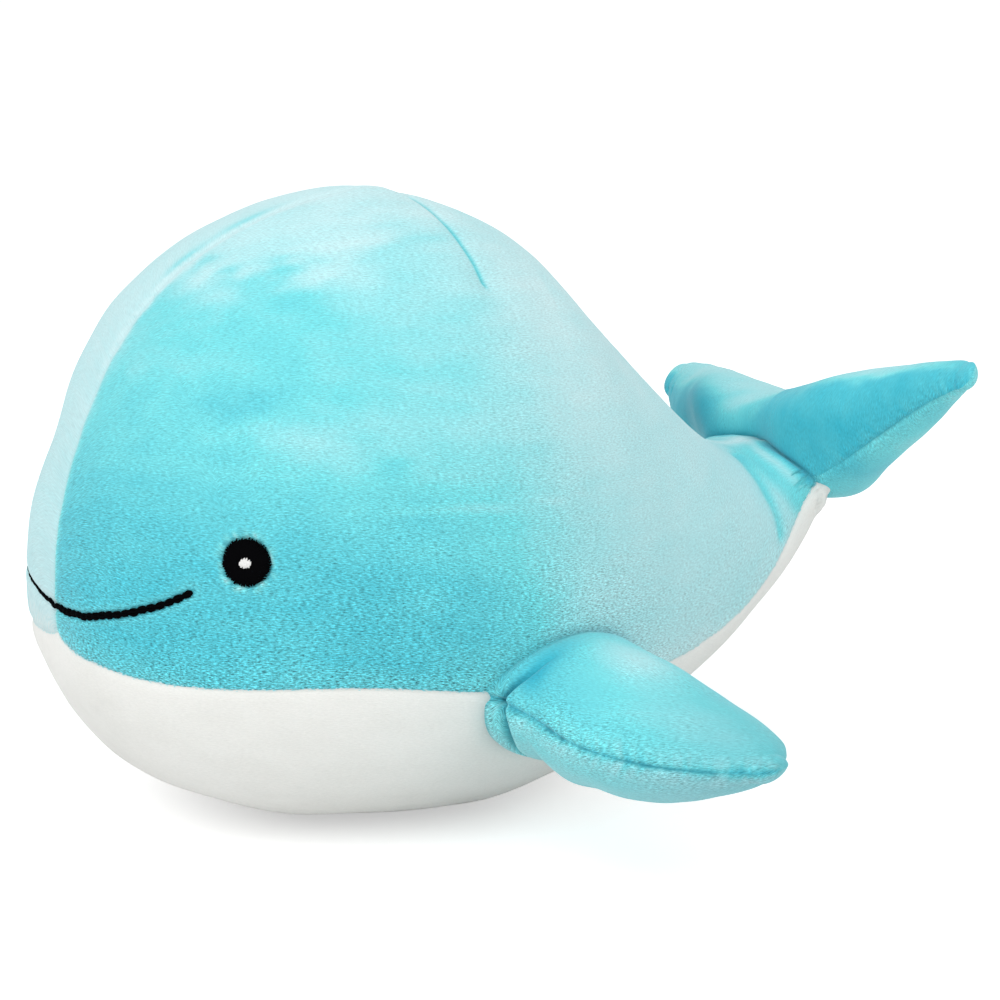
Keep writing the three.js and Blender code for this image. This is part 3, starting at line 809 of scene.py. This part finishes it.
def build_body():
    form = body_points
    station = np.concatenate([body_row_stations, np.full(tail_end_rows, last_station)])[:, None]
    turns = np.concatenate([body_turns, np.repeat(body_turns[-1:], tail_end_rows, axis=0)])
    degrees = np.degrees(np.minimum(turns, 2 * math.pi - turns))
    x, y, z = np.moveaxis(form, -1, 0)
    crown_off, crown_run = from_column(form, 0)
    seams = (side_seam_column, body_columns - side_seam_column)
    seam_off = np.minimum(*(from_column(form, column)[0] for column in seams))
    columns = np.arange(body_columns)[None, :]
    blue = (columns <= seams[0]) | (columns >= seams[1])

    lift = sewn_valley(form, 0, 0.45, 1.1, 0.1, 41)
    for column, seed in zip(seams, (43, 47)):
        lift += sewn_valley(form, column, 0.6, 1.4, 0.15, seed)
    lift += 0.7 * lumps(form, 42, 3.3) + 0.18 * lumps(form, 12, 5.1)

    # the seam allowance stands up under the crown where the darts start
    lift += 1.1 * bump_at(station - 4.12, 0.22) * bump_at(crown_off, 5)

    # darts
    dart_turns = np.linspace(*dart_degrees, 12)
    dart = skin(np.full(12, dart_station), np.radians(dart_turns))
    near = (np.abs(station - dart_station) < 0.8) & (degrees < 60)
    dart_off = np.full(form.shape[:2], 99.0)
    mirrored_form = np.abs(form) * [1, 0, 0] + form * [0, 1, 1]
    dart_off[near] = off_line(mirrored_form[near], dart)
    dart_end = apart(mirrored_form, dart[-1])
    dart_line = bump_at(dart_off, 1.25)
    lift += -0.85 * dart_line - 0.35 * bump_at(dart_off, 5) - 0.9 * bump_at(dart_end, 6)

    # eyes press the pile down, with a ring of ruffled pile round them
    eye_off = apart(mirrored_form, skin(eye_station, eye_turn))
    ruffle = lumps(form, 1.6, 8.8)
    lift -= 1.5 * past(eye_radius + 0.1 - eye_off, 0.35) + 0.5 * bump_at(eye_off, 16)
    lift += (0.5 + 0.8 * ruffle) * bump_at(eye_off - eye_radius - 1.3, 1.1)

    # the smile's stitches sink into the pile
    line, _ = smile_path(60)
    smile_off = np.full(form.shape[:2], 99.0)
    face = (station < 2.6) & (z > 30)
    smile_off[face] = off_line(form[face], line)
    lift += -1.0 * bump_at(smile_off, 1.4) + 0.15 * bump_at(smile_off - 2.4, 1.0)

    # where the filling has settled: hollows and fuller places, each with its middle, its reach and its rise
    for middle, reach, rise in (
        ((-34, -97, 116), 15, -2.1), ((-26, -106, 66), 14, 0.8), ((-18, -106, 46), 8, -1.0),
        ((-5, -90, 24), 12, 0.9), ((-32, -77, 150), 10, 0.7), ((22, -74, 14), 12, -0.8),
        ((43, 10, 8), 14, 1.1), ((37, -32, 7), 12, -0.9), ((30, 112, 50), 16, -0.9),
        ((26, 48, 152), 14, -0.7), ((0, 122, 100), 16, 1.2),
    ):
        lift += rise * bump_at(apart(form, np.array(middle)), reach)

    # soft folds across the tail, and one long one down its side
    for place, width, rise in ((8.64, 0.08, 0.5), (8.3, 0.12, -0.5)):
        lift += rise * bump_at(station - place, width) * bump_at(degrees - 40, 40)
    fold = skin(np.array([8.0, 7.9, 7.75, 7.55]), np.radians([28, 45, 68, 95]))
    fold_off = off_line(mirrored_form, fold)
    lift -= 0.8 * bump_at(fold_off, 2.6)
    # the end of the belly panel makes a small tuck beside the tail seam
    lift += 2.7 * bump_at(apart(mirrored_form, skin(8.88, math.radians(104))), 4.5)

    # limbs draw the cloth in where they are sewn on
    limb_off = np.full(form.shape[:2], 99.0)
    for limb in (left_flipper_points, right_flipper_points, fluke_points):
        low, high = limb.min(axis=(0, 1)) - 16, limb.max(axis=(0, 1)) + 16
        close = np.all((form > low) & (form < high), axis=-1)
        distance, _, _ = out_of(form[close], tree_of(limb))
        limb_off[close] = np.minimum(limb_off[close], distance)
    joins = bump_at(limb_off, 1.8)
    lift -= 0.6 * joins
    # the end of the tail is filled to a round roll beside its seam
    tail_end = past(station - tail_roll_station, 0.05)
    roll = bump_at(limb_off - 3.5, 3) * ramp(limb_off - 0.3, 1.5) * ramp(degrees - 20, 25)
    lift += 1.4 * tail_end * roll

    points = raised(form, lift)
    points[..., 2] = np.maximum(points[..., 2], 0)
    for end in (0, -1):
        points[end] = points[end].mean(axis=0)

    # how the pile has been stroked: deep on the front of the cheeks and low on the sides, pale on the back
    brushed = form * [1, 0.35, 1]
    soft = lumps(form, 30, 21.0) + 0.6 * lumps(brushed, 9, 23.0) + 0.4 * lumps(brushed, 4, 25.0)
    height_at, height_value = (0, 60, 93, 118, 140, 156, 190), (0.09, 0.1, 0.16, 0.28, 0.4, 0.43, 0.54)
    up = np.interp(z + 3 * soft, height_at, height_value)
    streaks = form * [1, 0.3, 1.6]
    streaky = lumps(streaks, 9, 27.0) + 0.5 * lumps(streaks, 4, 28.0)
    up += 0.3 * past(z - crown_step_height - 0.12 * (y + 46) + 3 * soft + 5 * streaky, 1.2)
    back = 0.81 * past(y - 6 - 7 * soft, 12)
    stroked = 1 - (1 - up) * (1 - back)
    # patches, each with its middle and its reach along Y and Z, and how much paler it is
    for middle_y, middle_z, reach_y, reach_z, paler in (
        (-36, 126, 36, 13, 0.2), (-60, 153, 12, 8, -0.08), (-72, 138, 14, 6, -0.2), (-86, 143, 9, 7, 0.08),
        (-2, 158, 20, 14, -0.03), (20, 130, 20, 14, 0.06), (-62, 130, 12, 5, 0.12), (-33, 169, 9, 5, 0.2),
        (-69, 167, 6, 5, 0.26), (-51, 166, 8, 5, -0.12), (-9, 178, 9, 3, -0.16), (-19, 185, 18, 4, 0.12),
        (-38, 123, 6, 4, -0.16), (-10, 97, 24, 6, 0.08),
    ):
        stroked += paler * spot_at((y - middle_y - 3 * soft) / reach_y, (z - middle_z + 3 * soft) / reach_z)
    stroked += 0.05 * bump_at(z - 156, 13) * past(y + 29 - 3 * soft - 2 * streaky, 1.5) * (y < 30)
    stroked += 0.05 * streaky * ramp(z - 105, 20)
    # one long stroke of a finger along the side
    stroked += 0.15 * bump_at(z - 111 + 0.05 * (y + 50), 1.0) * bump_at(y + 12, 36)
    # the tail, brushed the other way between its fold and its seam
    tail_side = past(degrees - 9, 3) * ramp(112 - degrees, 20)
    stroked -= 0.08 * bump_at(station - 7.8, 0.3) * tail_side
    stroked -= 0.45 * past(station - tail_brush_station, 0.06) * tail_side
    stroked += 0.42 * tail_end * bump_at(limb_off - 5.4 - 0.4 * soft, 1.5) * bump_at(degrees - 38, 36)
    stroked -= 0.32 * tail_end * bump_at(limb_off - 1.8, 2.2) * tail_side
    stroked += 0.3 * tail_end * bump_at(degrees - 96, 14) * bump_at(limb_off - 9, 7)
    stroked -= 0.4 * bump_at(fold_off, 2.8)
    # the right side is painted pale at its front: partly its pile lies that way, and partly it is painted
    # sheen, as that side looks seen edge-on over the crown
    edge = 1.2 + 1.4 * lumps(form, 4.5, 29.0) * ramp(z - 115, 30)
    right_front = (station < 4.4) * past(edge - x, 1)
    fading = 0.9 - 0.5 * past(z - 164, 2.5) + 0.3 * np.minimum(soft, 0)
    stroked += right_front * fading * np.clip(1.9 - crown_off / 34, 0, 1)
    stroked = np.minimum(stroked, 0.92)
    # in two places on that side the pile lies the other way again
    for patch, reach in ((-46, 9), (-65, 6)):
        stroked -= 0.4 * right_front * bump_at(y - patch - 2 * soft, reach) * bump_at(crown_off - 3.2, 2.6)
    stroked += 0.5 * bump_at(eye_off - eye_radius - 0.7, 1.0) * np.clip(0.35 + 2.2 * ruffle, 0, 1)
    stroked += 0.08 * bump_at(smile_off - 2.2, 0.8)
    tufted = np.clip(0.4 + 1.6 * ripple(crown_run + 0.5 * crown_off, 1.5, 61), 0, 1)
    tufted = 0.12 * (station > 2.5) + 0.3 * tufted * bump_at(station - 2.6, 0.7)
    stroked += tufted * bump_at(crown_off - 1, 1.4)
    stroked += 0.12 * spot_at(station - 4.4, (degrees - 32) / 22)
    stroked = np.where(blue, stroked, 0.6 + 0.25 * soft)
    stroked -= 0.5 * bump_at(dart_off, 0.8)
    stroked += 0.1 * bump_at(seam_off, 8) * ramp(6.5 - station, 0.5) * blue
    ruffled = 0.12 + 0.85 * past(92 - z - 14 * soft, 16) + 0.3 * bump_at(seam_off, 7)
    ruffled -= 0.6 * ramp(y - 10, 50)
    ruffled = np.maximum(ruffled, 0.08) * (1 - 0.6 * ramp(station - 7.6, 0.3))
    ruffled = np.where(blue, ruffled * (1 - 0.8 * right_front), 0.5)
    # painted shade along the seams and the dart, at the dart's end, where the limbs join and by the tail
    # seam
    painted_shade = 0.04 * bump_at(crown_off, 0.45) * blue + 0.15 * bump_at(seam_off, 0.5)
    painted_shade += 0.16 * bump_at(dart_off, 0.5) + 0.12 * bump_at(dart_end, 1.4)
    painted_shade += 0.35 * joins**3 + 0.12 * tail_side * ramp(station - 8.7, 0.08)
    # the cloth beyond a side seam reaches over it; the wider pale fringe over the right front is painted
    # sheen
    fringe_and_sheen = np.maximum(bump_at(seam_off, 0.8), 0.9 * right_front * blue * bump_at(seam_off, 16))
    marks = {"stroked": (stroked, 1), "painted_shade": (painted_shade, 0.85), "ruffled": (ruffled, 1.2),
             "fringe_and_sheen": (fringe_and_sheen, 1)}

    def slots(middle):
        return (middle > seams[0]) & (middle < seams[1])

    piece = stuffed_mesh("whale_body", points, cloth_map(points, side_seam_column), marks, slots)
    piece.data.materials.append(blue_plush)
    piece.data.materials.append(white_plush)
    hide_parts("side_panel_left", "side_panel_right", "belly_panel", "body_stuffing")
    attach(piece, "body")


build_body()

# Eyes
# Each is a ring of black satin stitches worked from its middle to its edge, with a few white stitches
# left in the middle as a highlight. The ends of the threads make the edge jagged.

eye_stitches = 118
highlight_stitches = (0.5, 1.2, 1.0, 1.5, 1.25, 1.45, 0.9, 1.1, 0.45)
eye_pad_radius = 6.4
eye_pad_height = 1.5


def thread_material(name, colour, roughness, shine):
    material, tree, surface = new_material(name)
    strands = cloudy(node(tree, "ShaderNodeTexCoord", {}).outputs["Object"], 2600, 2)
    dark = (*[c * 0.7 for c in colour], 1)
    light = (*[min(c * 1.15, 1) for c in colour], 1)
    set_inputs(surface, {
        "Base Color": mixed(strands, dark, light),
        "Normal": bumped(strands, 0.5, 0.0001),
        "Roughness": roughness,
        "Specular IOR Level": shine,
    })
    return material


black_thread = thread_material("black thread", (0.002, 0.002, 0.0025), 0.8, 0.01)
white_thread = thread_material("white thread", (0.88, 0.88, 0.86), 0.6, 0.3)


def threads(name, lines, radius, material, core=None):
    """Threads laid along lines of places, as closed tubes that thin out at both ends."""
    curve = bpy.data.curves.new(name, "CURVE")
    curve.dimensions = "3D"
    curve.bevel_depth = radius / 1000
    curve.bevel_resolution = 1
    curve.resolution_u = 1
    curve.use_fill_caps = True
    for line in lines:
        spline = curve.splines.new("POLY")
        spline.points.add(len(line) - 1)
        for i, place in enumerate(line):
            spline.points[i].co = (*(np.asarray(place) / 1000), 1)
            spline.points[i].radius = 0.55 if i in (0, len(line) - 1) else 1.0
    drawn = bpy.data.objects.new(name, curve)
    mesh = bpy.data.meshes.new_from_object(drawn)
    bpy.data.objects.remove(drawn)
    bpy.data.curves.remove(curve)
    mesh.name = name
    if core is not None:
        bm = bmesh.new()
        bm.from_mesh(mesh)
        bm.from_mesh(core)
        bm.to_mesh(mesh)
        bm.free()
        bpy.data.meshes.remove(core)
    mesh.materials.clear()
    mesh.materials.append(material)
    mesh.shade_smooth()
    piece = bpy.data.objects.new(name, mesh)
    bpy.context.collection.objects.link(piece)
    return piece


def strays(along, seed):
    """How far a thread strays from its even place, from -1 to 1."""
    return noise.noise(Vector((along, seed, 0)))


def eye_places(mirror):
    """The eye's middle on the skin and its three directions: across, up and out."""
    middle = skin(eye_station, eye_turn)
    out = skin_normal(eye_station, eye_turn)
    up = np.array([0, 0, 1]) - out * out[2]
    up /= np.linalg.norm(up)
    across = np.cross(up, out)
    return tuple(direction * mirror for direction in (middle, across, up, out))


def build_eye(side):
    mirror = np.array([1 if side == "left" else -1, 1, 1])
    middle, across, up, out = eye_places(mirror)
    floor = -1.0
    lines = []
    for i in range(eye_stitches):
        angle = i / eye_stitches * 2 * math.pi
        way = across * math.cos(angle) + up * math.sin(angle)
        side_way = -across * math.sin(angle) + up * math.cos(angle)
        end = eye_radius - 0.35 + 0.5 * strays(i * 0.83, 2.5) + (0.2 if i % 2 else -0.2)
        skew = 0.25 * strays(i * 0.41, 7.5)
        line = []
        for share in (0, 0.2, 0.45, 0.7, 0.88, 0.97, 1):
            radius = 1.3 + (end - 1.3) * share
            dome = math.sqrt(max(1 - (radius / (end + 0.3)) ** 4, 0))
            height = floor + 1.75 * dome - (0.5 if share in (0, 1) else 0)
            line.append(middle + way * radius + side_way * skew * share + out * height)
        lines.append(line)
    # a low pad of thread under the stitches
    bm = bmesh.new()
    bmesh.ops.create_uvsphere(bm, u_segments=40, v_segments=12, radius=1)
    basis = Matrix([across * eye_pad_radius, up * eye_pad_radius, out * eye_pad_height]).transposed()
    place = Matrix.Translation(Vector((middle + out * (floor - 0.95)) / 1000)) @ (basis * 0.001).to_4x4()
    bmesh.ops.transform(bm, matrix=place, verts=bm.verts)
    if side == "right":
        bmesh.ops.recalc_face_normals(bm, faces=bm.faces)
    core = bpy.data.meshes.new("core")
    bm.to_mesh(core)
    bm.free()
    disc = threads(f"eye_{side}", lines, 0.27, black_thread, core)
    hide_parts(f"eye_{side}_disc")
    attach(disc, "body")

    lines = []
    for i, tall in enumerate(highlight_stitches):
        x = (i - 4) * 0.36
        shift = 0.35 * strays(i * 1.7, 4.2)
        line = []
        for share in (-1, -0.8, -0.3, 0.3, 0.8, 1):
            height = 0.95 + 0.35 * (1 - share**2) - (0.6 if abs(share) == 1 else 0)
            y = share * tall + shift
            line.append(middle + across * (x + 0.06 * share) + up * y + out * height)
        lines.append(line)
    shine = threads(f"highlight_{side}", lines, 0.27, white_thread)
    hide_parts(f"eye_{side}_highlight")
    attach(shine, "body")


build_eye("left")
build_eye("right")

# Smile
# One line of black chain stitches across the nose and over both cheeks, each stitch a small bundle of
# thread strands pulled tight at both ends.

smile_stitch = 3.0
smile_strands = 6


def build_smile():
    places, normals = smile_path(400)
    run = summed(steps_down(places))
    count = round(run[-1] / smile_stitch)
    stitch = run[-1] / count
    lines = []

    def at(length):
        place = np.array([np.interp(length, run, places[:, k]) for k in range(3)])
        normal = np.array([np.interp(length, run, normals[:, k]) for k in range(3)])
        return place, normal / np.linalg.norm(normal)

    for i in range(count):
        start = i * stitch - 0.35
        end = (i + 1) * stitch + 0.45
        girth = 0.92 + 0.35 * strays(i * 0.77, 3.1)
        # the pile hides more of the thread over the nose
        (x, _, _), _ = at((start + end) / 2)
        girth *= 0.45 + 0.55 * min(max((x if x > 0 else -x - 18) / 7, 0), 1)
        lean = 0.6 * strays(i * 0.83, 9.1)
        shift = 0.3 * strays(i * 0.91, 5.7)
        for strand in range(smile_strands):
            angle = strand / smile_strands * 2 * math.pi + i * 0.4
            line = []
            for share in (0, 0.12, 0.35, 0.65, 0.88, 1):
                length = min(max(start + (end - start) * share, 0), run[-1])
                place, normal = at(length)
                ahead, _ = at(min(length + 0.5, run[-1]))
                behind, _ = at(max(length - 0.5, 0))
                way = ahead - behind
                way /= np.linalg.norm(way)
                beside = np.cross(normal, way)
                swell = math.sin(math.pi * min(max(share, 0.06), 0.94)) ** 1.1 * girth
                twist = angle + 0.9 * share
                offset = beside * (math.cos(twist) * swell + lean * (share - 0.5) + shift)
                height = -0.35 + math.sin(twist) * swell * 0.5 - (0.35 if share in (0, 1) else 0)
                line.append(place + offset + normal * height)
            lines.append(line)
    piece = threads("smile", lines, 0.36, black_thread)
    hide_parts("smile_left", "smile_right")
    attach(piece, "body")


build_smile()

# Floor, light and camera
# A pale studio floor with soft light from the front, and the camera at the photograph's angle.

camera_azimuth = math.radians(62)
camera_elevation = math.radians(15.57)
camera_target = Vector((0.0185, 0.0266, 0.0906))
camera_distance = 0.9996


def seen_rays(tree):
    """1 for the rays that reach the camera at once, in a gloss or through glass, and 0 for the rest."""
    seen = node(tree, "ShaderNodeLightPath", {}).outputs
    rays = maths("MAXIMUM", seen["Is Camera Ray"], seen["Is Glossy Ray"])
    return maths("MAXIMUM", rays, seen["Is Transmission Ray"])


def build_studio():
    bm = bmesh.new()
    bmesh.ops.create_grid(bm, x_segments=1, y_segments=1, size=8)
    mesh = bpy.data.meshes.new("floor")
    bm.to_mesh(mesh)
    bm.free()
    floor = bpy.data.objects.new("floor", mesh)
    floor.location.z = -0.0002
    bpy.context.collection.objects.link(floor)
    material, tree, surface = new_material("studio floor")
    set_inputs(surface, {
        "Base Color": (0.86, 0.86, 0.86, 1),
        "Roughness": 0.9,
        "Specular IOR Level": 0.1,
        "Emission Color": (1, 1, 1, 1),
        "Emission Strength": times(seen_rays(tree), 0.45),
    })
    mesh.materials.append(material)

    world = bpy.data.worlds.new("studio")
    bpy.context.scene.world = world
    world.use_nodes = True
    tree = world.node_tree
    strength = plus(times(seen_rays(tree), 0.38), 0.62)
    set_inputs(tree.nodes["Background"], {"Color": (1, 1, 1, 1), "Strength": strength})

    level = math.cos(camera_elevation)
    back = Vector((
        math.sin(camera_azimuth) * level,
        -math.cos(camera_azimuth) * level,
        math.sin(camera_elevation),
    ))
    camera = bpy.data.cameras.new("camera")
    camera.lens = 119.59
    camera.sensor_width = 36
    camera.clip_start = 0.01
    seat = bpy.data.objects.new("camera", camera)
    seat.location = camera_target + back * camera_distance
    seat.rotation_euler = back.to_track_quat("Z", "Y").to_euler()
    bpy.context.collection.objects.link(seat)
    bpy.context.scene.camera = seat

    for name, place, size, power in (
        ("front light", (0.55, -1.1, 1.15), 1.1, 11.3),
        ("side light", (1.3, 0.5, 0.9), 1.0, 5.2),
        ("top light", (-0.3, 0.1, 1.5), 1.2, 3.5),
    ):
        lamp = bpy.data.lights.new(name, "AREA")
        lamp.size = size
        lamp.energy = power
        holder = bpy.data.objects.new(name, lamp)
        holder.location = place
        way = Vector(place) - Vector((0, 0.02, 0.08))
        holder.rotation_euler = way.to_track_quat("Z", "Y").to_euler()
        bpy.context.collection.objects.link(holder)
    bpy.context.scene.view_settings.view_transform = "Standard"


build_studio()
